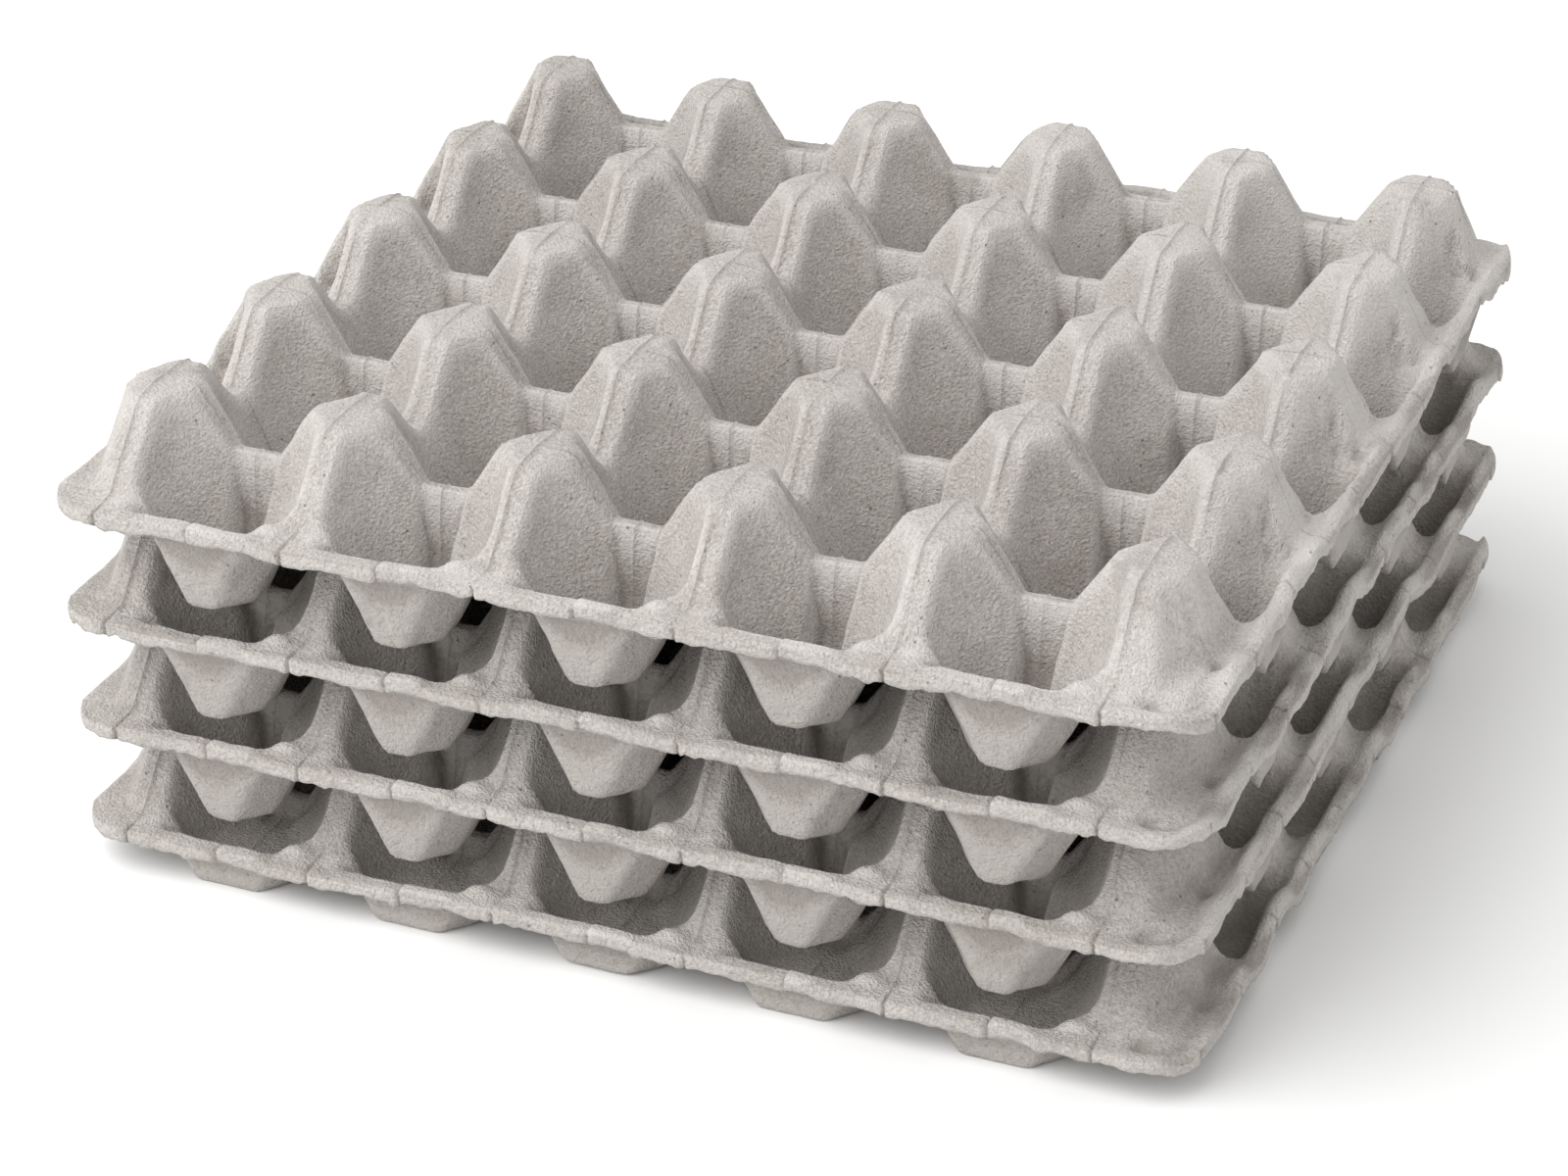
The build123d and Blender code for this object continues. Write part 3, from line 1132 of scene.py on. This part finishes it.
    def _eroded_top(self, x: Array, y: Array) -> Array:
        """The lowest of the top surface's heights within a millimetre of each place.

        Args:
            x: Places from the first column of peaks.
            y: Places from the first row of peaks.

        Returns:
            Heights in mm.
        """
        lowest = self.surface.top(x, y)
        for turn in RING_TURNS:
            lowest = np.minimum(lowest, self.surface.top(x + math.cos(turn), y + math.sin(turn)))
        return lowest

    @staticmethod
    def _normals(points: Array) -> Array:
        """Each point's direction up: the cross product of the slopes along its grid lines."""
        normal = np.cross(np.gradient(points, axis=1), np.gradient(points, axis=0))
        return normal / (np.linalg.norm(normal, axis=-1, keepdims=True) + 1e-9)

    def _skin(self, inset: float, under: bool) -> Skin:
        """Works out the top or the underside.

        Formula: the surface's averaged heights, with the rim's marks and the warp added, then moved along its
        normals by small lumps and the seams. Its wear and shade is how far it stands out from a wider
        average, less the cracks on the top: the finish paints it lighter where it stands out, as edge wear
        and painted highlight, and darker in hollows and cracks, as painted shade.

        Args:
            inset: How far in from the edge the surface ends.
            under: True for the underside.

        Returns:
            The surface's points and what the finish reads.
        """
        x, y = self._plan(inset)
        shape = self.surface.underside if under else self.surface.top
        z = self.surface.averaged(shape, x, y, self.edge_radius)
        around = self.surface.averaged(shape, x, y, self.wear_and_shade_radius)
        insets = self.form.insets(x, y)
        edge = np.minimum.reduce(list(insets.values()))
        if under:
            z = np.minimum(z, self._eroded_top(x, y) - self.least_wall)
        else:
            z = z - self.rim_round * (1 - np.sqrt(np.clip(edge / self.rim_round_width, 0, 1)))
            z = z + self._rim_detail(x, y)
        z = z + self._warp(x, y)
        points = np.stack([x, y, z], axis=-1)
        seed = self.character.seed
        lumps = self.lump_high * Ripple(seed + 11, 13.0).at(x, y, z)
        lumps = lumps + self.small_lump_high * Ripple(seed + 12, 6.5, 24).at(x, y, z)
        # Wear and shade: lighter where the surface stands out, as edge wear and painted highlight, darker in
        # hollows and, on the top, in the cracks, as painted shade.
        if under:
            seam = np.zeros_like(x)
            lift = -lumps * ramp(edge, inset, inset + 2.0)
            wear_and_shade = (around - z) * self.wear_and_shade_gain
        else:
            seam = self._seams(x, y)
            nearest = np.minimum(insets[Side.FRONT], insets[Side.RIGHT])
            crack = seam * (1 - ramp(nearest, *self.crack_reach))
            lift = lumps + self.seam_high * seam - self.crack_deep * crack
            wear_and_shade = (z - around) * self.wear_and_shade_gain - self.crack_shade * crack
        points = points + self._normals(points) * lift[..., None]
        # The underside's 1 also paints it darker: painted shade.
        return Skin(points, np.clip(wear_and_shade, -1, 1), seam, 1.0 if under else 0.0)

    @staticmethod
    def _ring(grid: Array) -> Array:
        """A grid's border as one loop, anticlockwise from its first corner."""
        return np.concatenate([grid[0, :-1], grid[:-1, -1], grid[-1, :0:-1], grid[:0:-1, 0]])

    def _lip_marks(self, x: Array, y: Array) -> tuple[Array, Array, Array]:
        """What makes the lip uneven: cracks at the seams, a torn edge and a bulge.

        Formula: a crack is 1 on a seam and falls straight to 0, the torn edge is quick
        noise, and the bulge is noise with a step from one panel of the rim to the next.

        Args:
            x: Places of the rim from the first column of peaks.
            y: Places of the rim from the first row of peaks.

        Returns:
            The cracks, 0 to 1, the torn edge's heights and the bulge, in mm.
        """
        form, seed = self.form, self.character.seed
        from_x, from_y = form.from_seams(x, y)
        on_front = y < -form.front + 3
        from_seam = np.where(on_front | (y > form.span_y), from_x, from_y)
        crack = np.maximum(1 - from_seam / self.crack_half, 0)
        panel = np.floor(x / form.well_x) * 2.4 + np.floor(y / form.well_y) * 1.7
        step = np.sin(panel + seed) * self.step_high
        torn = Ripple(seed + 21, 11.0, 20, 0.6).at(x, y, 0.0) * self.torn_high
        torn += Ripple(seed + 22, 3.4, 20, 0.4).at(x, y, 0.0) * self.torn_high
        calm = form.span_x + form.right - self.calm_start
        calmer = self.calm_share * ramp(x, calm, calm + self.calm_length) * on_front
        torn = torn * self.character.torn * (1 - calmer)
        bulge = Ripple(seed + 23, 12.0).at(x, y, 0.0) * self.bulge_high + step * self.step_share
        return crack, torn, bulge

    def _lip(self, top: Skin, bottom: Skin) -> Skin:
        """Rows of points that turn down from the rim and back up to the underside.

        Args:
            top: The top surface.
            bottom: The underside.

        Returns:
            The lip, as rows by places round the rim.
        """
        outer, inner = self._ring(top.points), self._ring(bottom.points)
        across = outer - inner
        across[:, 2] = 0
        across /= np.linalg.norm(across, axis=1, keepdims=True)
        crack, torn, bulge = self._lip_marks(outer[:, 0], outer[:, 1])
        rows, wear_and_shade_rows = [], []
        for fall, out, wear_and_shade in self.lip_rows:
            row = outer + across * (out + bulge * self.bulge_share - self.lip_crack * crack)[:, None]
            row[:, 2] = outer[:, 2] - fall + torn * (fall / self.lip_deep)
            rows.append(row)
            # Painted shade darkens the lip at its cracks.
            wear_and_shade_rows.append(wear_and_shade - self.lip_crack_shade * crack)
        fall, back, wear_and_shade = self.lip_inner
        row = outer - across * (back + 0.25 * torn)[:, None]
        row[:, 2] = outer[:, 2] - fall + torn * 0.7
        rows.append(row)
        wear_and_shade_rows.append(np.full(len(row), wear_and_shade))
        wear_and_shade_rows = np.array(wear_and_shade_rows)
        return Skin(np.array(rows), wear_and_shade_rows, np.zeros_like(wear_and_shade_rows), self.lip_rough)

    def _faces(self, rows: int, columns: int, lip_rows: int) -> Array:
        """Joins the top, the underside and the lip between them.

        Args:
            rows: Rows of points of the top, and of the underside.
            columns: Points in each of those rows.
            lip_rows: Rows of points of the lip.

        Returns:
            Numbers of each face's four points, seen anticlockwise from outside.
        """
        index = np.arange(rows * columns).reshape(rows, columns)
        first, right, up, both = index[:-1, :-1], index[:-1, 1:], index[1:, :-1], index[1:, 1:]
        top = np.stack([first, right, both, up], -1).reshape(-1, 4)
        under = np.stack([first, up, both, right], -1).reshape(-1, 4) + index.size
        ring = self._ring(index)
        starts = 2 * index.size + ring.size * np.arange(lip_rows)
        loops = [ring, *(start + np.arange(ring.size) for start in starts), ring + index.size]
        quads = [top, under]
        for upper, lower in zip(loops[:-1], loops[1:]):
            quads.append(np.stack([upper, lower, np.roll(lower, -1), np.roll(upper, -1)], -1))
        return np.concatenate(quads)

    def build(self) -> bpy.types.Object:
        """Joins the top, the lip and the underside into one closed mesh.

        Returns:
            The tray's object, at the origin, with its place in its mesh.
        """
        top = self._skin(0.0, False)
        bottom = self._skin(self.form.wall, True)
        skins = (top, bottom, self._lip(top, bottom))
        quads = self._faces(*top.wear_and_shade.shape, len(skins[2].points))
        points = np.concatenate([skin.points.reshape(-1, 3) for skin in skins])
        placed = (points + self.origin) * MM
        placed[:, 2] = np.maximum(placed[:, 2], FLOOR_GAP)
        piece = mesh_object("pulp_" + self.node, placed, quads)
        values = {
            "wear_and_shade": [skin.wear_and_shade for skin in skins],
            "seam": [skin.seam for skin in skins],
            "rough": [np.full_like(skin.wear_and_shade, skin.rough) for skin in skins],
        }
        for name, parts in values.items():
            attribute = piece.data.attributes.new(name, "FLOAT", "POINT")
            joined = np.concatenate([part.ravel() for part in parts])
            attribute.data.foreach_set("value", joined.astype(np.float32))
        return piece


def mesh_object(name: str, points: Array, quads: Array) -> bpy.types.Object:
    """Puts points and four-sided faces into a new smooth-shaded object.

    Args:
        name: The object's name.
        points: Places in metres.
        quads: Numbers of each face's four points, seen anticlockwise from outside.

    Returns:
        The object, linked into the scene.
    """
    mesh = bpy.data.meshes.new(name)
    mesh.vertices.add(len(points))
    mesh.vertices.foreach_set("co", points.astype(np.float32).ravel())
    mesh.loops.add(quads.size)
    mesh.loops.foreach_set("vertex_index", quads.astype(np.int32).ravel())
    mesh.polygons.add(len(quads))
    mesh.polygons.foreach_set("loop_start", np.arange(len(quads), dtype=np.int32) * 4)
    mesh.update(calc_edges=True)
    mesh.validate()
    mesh.polygons.foreach_set("use_smooth", np.ones(len(mesh.polygons), bool))
    piece = bpy.data.objects.new(name, mesh)
    bpy.context.scene.collection.objects.link(piece)
    return piece


# ------------------------------------------------------------------------- finishes


class NodeBench:
    """Adds nodes to a material and joins them."""

    def __init__(self, name: str) -> None:
        """Starts an empty material.

        Args:
            name: The material's name.
        """
        self.material = bpy.data.materials.new(name)
        self.material.use_nodes = True
        self.tree = self.material.node_tree
        self.tree.nodes.clear()

    def add(self, kind: str, settings: dict | None = None, inputs: dict | None = None) -> bpy.types.Node:
        """Adds one node.

        Args:
            kind: Blender's name for the node's type.
            settings: Properties of the node.
            inputs: Values or sockets for its inputs, by name or number.

        Returns:
            The node.
        """
        node = self.tree.nodes.new(kind)
        for key, value in (settings or {}).items():
            setattr(node, key, value)
        for key, value in (inputs or {}).items():
            if isinstance(value, bpy.types.NodeSocket):
                self.tree.links.new(value, node.inputs[key])
            else:
                node.inputs[key].default_value = value
        return node

    def maths(self, operation: str, first: object, second: object = 0.0, third: object = 0.0) -> Socket:
        """One Math node of up to three inputs."""
        node = self.add("ShaderNodeMath", {"operation": operation}, {0: first, 1: second, 2: third})
        return node.outputs[0]

    def blend(self, share: object, first: object, second: object) -> Socket:
        """Mixes two colours by a share."""
        node = self.add("ShaderNodeMix", {"data_type": "RGBA"}, {0: share, 6: first, 7: second})
        return node.outputs[2]

    def range(self, value: object, low: float, high: float, to_low: float, to_high: float) -> Socket:
        """Stretches a value from one range to another, smoothly and clamped.

        Args:
            value: The value's socket.
            low: Where the range starts.
            high: Where it ends.
            to_low: What the start becomes.
            to_high: What the end becomes.

        Returns:
            The stretched value's socket.
        """
        inputs = {0: value, 1: low, 2: high, 3: to_low, 4: to_high}
        node = self.add("ShaderNodeMapRange", {"interpolation_type": "SMOOTHSTEP"}, inputs)
        return node.outputs[0]

    def noise(self, place: object, scale: float, detail: float, rough: float = 0.5) -> Socket:
        """Noise of a given scale over a place."""
        inputs = {"Vector": place, "Scale": scale, "Detail": detail, "Roughness": rough}
        return self.add("ShaderNodeTexNoise", {}, inputs).outputs[0]

    def mapped(self, place: Socket, inputs: dict[int, Colour]) -> Socket:
        """A place moved (input 1), turned (input 2) or stretched (input 3)."""
        return self.add("ShaderNodeMapping", {}, {0: place, **inputs}).outputs[0]

    def attribute(self, name: str) -> Socket:
        """A piece's own attribute."""
        return self.add("ShaderNodeAttribute", {"attribute_name": name}).outputs["Fac"]


@dataclass(frozen=True)
class PulpFinish:
    """Rough moulded paper pulp: mottled warm grey, fibres, specks and pits, with painted light and shade:
    lighter where it stands out, darker in hollows, in cracks, along the seams and underneath.
    """

    base: Colour = (0.500, 0.466, 0.436)
    dark: Colour = (0.290, 0.262, 0.236)
    light: Colour = (0.640, 0.610, 0.580)
    # The specks' colour, which also paints the shade along the seams.
    speck_and_seam_shade: Colour = (0.20, 0.175, 0.155)
    roughness: float = 0.93
    gloss: float = 0.18
    sheen: float = 0.08
    sheen_roughness: float = 0.6
    relief_strength: float = 0.85
    relief_distance: float = 0.0013

    def material(self, shift: float) -> bpy.types.Material:
        """Makes the material for one tray.

        Formula: tints are laid over the base one by one, each where its pattern lies
        between two values, and the fine relief goes through a bump.

        Args:
            shift: Moves the patterns, so that no two trays are marked alike.

        Returns:
            The material.
        """
        bench = NodeBench("pulp")
        place = bench.add("ShaderNodeTexCoord").outputs["Object"]
        place = bench.mapped(place, {1: (shift, shift * 0.7, shift * 0.3)})
        wear_and_shade, seam, rough = (bench.attribute(name) for name in ("wear_and_shade", "seam", "rough"))
        grain = bench.noise(place, 1100, 3, 0.65)
        fibres = bench.noise(bench.mapped(place, {2: (0.3, 0.2, 0.5), 3: (260, 900, 700)}), 1.0, 2)
        crossed = bench.noise(bench.mapped(place, {2: (0.9, 0.1, 1.4), 3: (800, 240, 620)}), 1.0, 2)
        specks = self._specks(bench, place)
        smudges = bench.range(bench.noise(place, 42, 5, 0.7), 0.56, 0.70, 0.0, 0.5)
        worn = bench.range(wear_and_shade, -0.1, 0.5, 0.2, 1.0)
        layers = (
            (bench.range(bench.noise(place, 16, 3), 0.35, 0.65, 0.0, 0.35), self.light),
            (bench.range(bench.noise(place, 75, 4, 0.6), 0.30, 0.72, 0.35, 0.0), self.dark),
            (bench.range(grain, 0.46, 0.66, 0.0, 0.50), self.light),
            (bench.range(grain, 0.32, 0.50, 0.46, 0.0), self.dark),
            (bench.range(fibres, 0.58, 0.72, 0.0, 0.30), self.light),
            (bench.range(crossed, 0.60, 0.74, 0.0, 0.25), self.dark),
            # Lighter where the surface stands out, as edge wear and painted highlight, and darker in hollows
            # and cracks, as painted shade.
            (bench.range(wear_and_shade, 0.05, 0.75, 0.0, 0.55), self.light),
            (bench.range(wear_and_shade, -0.9, -0.1, 0.55, 0.0), self.dark),
            # A dark line along the raised seams: painted shade.
            (bench.range(seam, 0.15, 0.8, 0.0, 0.30), self.speck_and_seam_shade),
            # Darker underneath: painted shade.
            (bench.range(rough, 0.85, 1.0, 0.0, 0.42), self.dark),
            (bench.maths("MULTIPLY", smudges, worn), self.dark),
            (specks, self.speck_and_seam_shade),
        )
        colour = (*self.base, 1)
        for share, tint in layers:
            colour = bench.blend(share, colour, (*tint, 1))
        inputs = {"Strength": self.relief_strength, "Distance": self.relief_distance}
        inputs["Height"] = self._relief(bench, place, (grain, fibres, crossed), rough, specks)
        shader = bench.add("ShaderNodeBsdfPrincipled", {}, {
            "Base Color": colour,
            "Roughness": self.roughness,
            "Specular IOR Level": self.gloss,
            "Normal": bench.add("ShaderNodeBump", {}, inputs).outputs[0],
            "Sheen Weight": self.sheen,
            "Sheen Roughness": self.sheen_roughness,
        })
        bench.add("ShaderNodeOutputMaterial", {}, {0: shader.outputs[0]})
        return bench.material

    def _specks(self, bench: NodeBench, place: Socket) -> Socket:
        """Small dark bits in the pulp, at some of the middles of a cell pattern.

        Args:
            bench: Takes the nodes.
            place: Where the pattern is read.

        Returns:
            How much of a speck each place has.
        """
        cells = bench.add("ShaderNodeTexVoronoi", {}, {"Vector": place, "Scale": 260.0, "Randomness": 1.0})
        pick = bench.add("ShaderNodeSeparateColor", {}, {0: cells.outputs["Color"]}).outputs[0]
        near = bench.range(cells.outputs["Distance"], 0.04, 0.13, 1.0, 0.0)
        return bench.maths("MULTIPLY", near, bench.range(pick, 0.60, 0.72, 0.0, 0.7))

    def _relief(self, bench: NodeBench, place: Socket, fine: tuple[Socket, ...], rough: Socket,
                specks: Socket) -> Socket:
        """The fine relief: grain, pebbles, fibres, specks, and pits where it is rough.

        Args:
            bench: Takes the nodes.
            place: Where the patterns are read.
            fine: The grain and the fibres of both directions.
            rough: How rough the surface is, 0 on top and 1 underneath.
            specks: The dark bits, which lie a little lower.

        Returns:
            The height that the bump reads.
        """
        grain, fibres, crossed = fine
        cells = bench.add("ShaderNodeTexVoronoi", {"feature": "SMOOTH_F1"}, {"Vector": place, "Scale": 330.0})
        pits = bench.range(cells.outputs["Distance"], 0.1, 0.5, -1.0, 0.0)
        coarser = bench.maths("ADD", bench.maths("MULTIPLY", rough, 0.6), 0.12)
        patterns = (
            (bench.noise(place, 1350, 2, 0.6), 0.95),
            (fibres, 0.14),
            (crossed, 0.12),
            (bench.noise(place, 760, 3, 0.7), coarser),
            (pits, bench.maths("MULTIPLY", rough, 0.35)),
            (specks, -0.5),
        )
        height = bench.maths("MULTIPLY", grain, 0.35)
        for pattern, strength in patterns:
            height = bench.maths("MULTIPLY_ADD", pattern, strength, height)
        return height


@dataclass(frozen=True)
class FloorFinish:
    """Plain white matt floor."""

    colour: Colour = (0.90, 0.90, 0.895)

    def material(self) -> bpy.types.Material:
        """Makes the floor's material.

        Returns:
            The material.
        """
        bench = NodeBench("floor_white")
        shader = bench.add("ShaderNodeBsdfPrincipled", {}, {
            "Base Color": (*self.colour, 1), "Roughness": 1.0, "Specular IOR Level": 0.0,
        })
        bench.add("ShaderNodeOutputMaterial", {}, {0: shader.outputs[0]})
        return bench.material


# --------------------------------------------------------------------------- studio


@dataclass(frozen=True)
class View:
    """Where the camera stands: angles in degrees, places in pitches, the lens in mm."""

    azimuth: float = 23.38
    elevation: float = 28.61
    roll: float = -0.93
    distance: float = 17.70
    across: float = 3.596
    along: float = -0.857
    lens: float = 93.96
    sensor: float = 36.0


@dataclass(frozen=True)
class Lamp:
    """A soft square lamp that looks at the middle of the stack."""

    name: str
    place: tuple[float, float, float]
    size: float
    power: float

    def build(self, centre: Vector) -> bpy.types.Object:
        """Hangs the lamp and turns it to the centre.

        Args:
            centre: The middle of the stack.

        Returns:
            The lamp.
        """
        light = bpy.data.lights.new(self.name, "AREA")
        light.size, light.energy = self.size, self.power
        lamp = bpy.data.objects.new(self.name, light)
        lamp.location = centre + Vector(self.place)
        lamp.rotation_euler = (-Vector(self.place)).to_track_quat("-Z", "Y").to_euler()
        bpy.context.scene.collection.objects.link(lamp)
        return lamp


class Studio:
    """A white floor, soft light and the camera."""

    view = View()
    lamps = (
        Lamp("key", (-1.05, -1.08, 1.70), 2.4, 47.0),
        Lamp("front_fill", (-1.60, -1.20, 0.80), 1.8, 5.0),
    )
    ambient = 0.86
    floor_reach = 6.0

    def build(self, form: TrayForm, top_node: str) -> None:
        """Sets up the studio round the stack.

        Args:
            form: The sizes of a tray.
            top_node: The CAD node of the uppermost tray.
        """
        low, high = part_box(top_node)
        self._camera(form, Vector((low.x + form.left * MM, low.y + form.front * MM, high.z)))
        self._floor()
        for lamp in self.lamps:
            lamp.build(Vector((0, 0, high.z / 2)))
        world = bpy.data.worlds.new("studio")
        world.use_nodes = True
        background = world.node_tree.nodes["Background"]
        background.inputs[0].default_value = (1.0, 1.0, 1.0, 1.0)
        background.inputs[1].default_value = self.ambient
        bpy.context.scene.world = world
        bpy.context.scene.view_settings.view_transform = "Standard"

    def _camera(self, form: TrayForm, first_peak: Vector) -> None:
        """Places the camera by its angles round a point near the front rim.

        Args:
            form: The sizes of a tray.
            first_peak: The top of the uppermost tray's first peak.
        """
        view = self.view
        turn, rise, roll = (math.radians(a) for a in (view.azimuth, view.elevation, view.roll))
        back = Vector((math.sin(turn) * math.cos(rise), -math.cos(turn) * math.cos(rise), math.sin(rise)))
        right = Vector((math.cos(turn), math.sin(turn), 0))
        up = back.cross(right)
        across = right * math.cos(roll) + up * math.sin(roll)
        upward = up * math.cos(roll) - right * math.sin(roll)
        pitch = form.pitch_x * MM
        target = first_peak + Vector((view.across * pitch, view.along * pitch, 0))
        camera_data = bpy.data.cameras.new("camera")
        camera_data.lens, camera_data.sensor_width = view.lens, view.sensor
        camera = bpy.data.objects.new("camera", camera_data)
        matrix = Matrix((across, upward, back)).transposed().to_4x4()
        matrix.translation = target + back * view.distance * pitch
        camera.matrix_world = matrix
        bpy.context.scene.collection.objects.link(camera)
        bpy.context.scene.camera = camera

    def _floor(self) -> None:
        """Lays the floor under the stack."""
        corners = np.array([(-1, -1, 0), (1, -1, 0), (1, 1, 0), (-1, 1, 0)], float) * self.floor_reach
        floor = mesh_object("floor", corners, np.array([[0, 1, 2, 3]]))
        floor.data.materials.append(FloorFinish().material())


class TrayStack:
    """The stack: one pulp tray for each CAD node, bottom first."""

    characters = (Character(101), Character(202), Character(303), Character(404, front_notch=0.0))
    pattern_shift = 0.37

    def __init__(self, form: TrayForm) -> None:
        """Keeps the sizes of a tray."""
        self.form = form

    def build(self) -> list[bpy.types.Object]:
        """Builds every tray, dresses it, hangs it under the root body and hides its CAD node.

        Returns:
            The trays' objects, bottom first.
        """
        pieces = []
        for number, character in enumerate(self.characters):
            node = f"tray_{number + 1}"
            piece = PulpTray(node, self.form, character).build()
            piece.data.materials.append(PulpFinish().material(self.pattern_shift * number))
            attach(piece, "root")
            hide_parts(node)
            mesh = piece.data
            LOG.info("%s: %d points, %d faces", piece.name, len(mesh.vertices), len(mesh.polygons))
            pieces.append(piece)
        return pieces


def main() -> None:
    """Builds the studio and the stack, and reports each piece."""
    logging.basicConfig(level=logging.INFO)
    form = TrayForm()
    Studio().build(form, "tray_4")
    TrayStack(form).build()


if __name__ == "__main__":
    main()
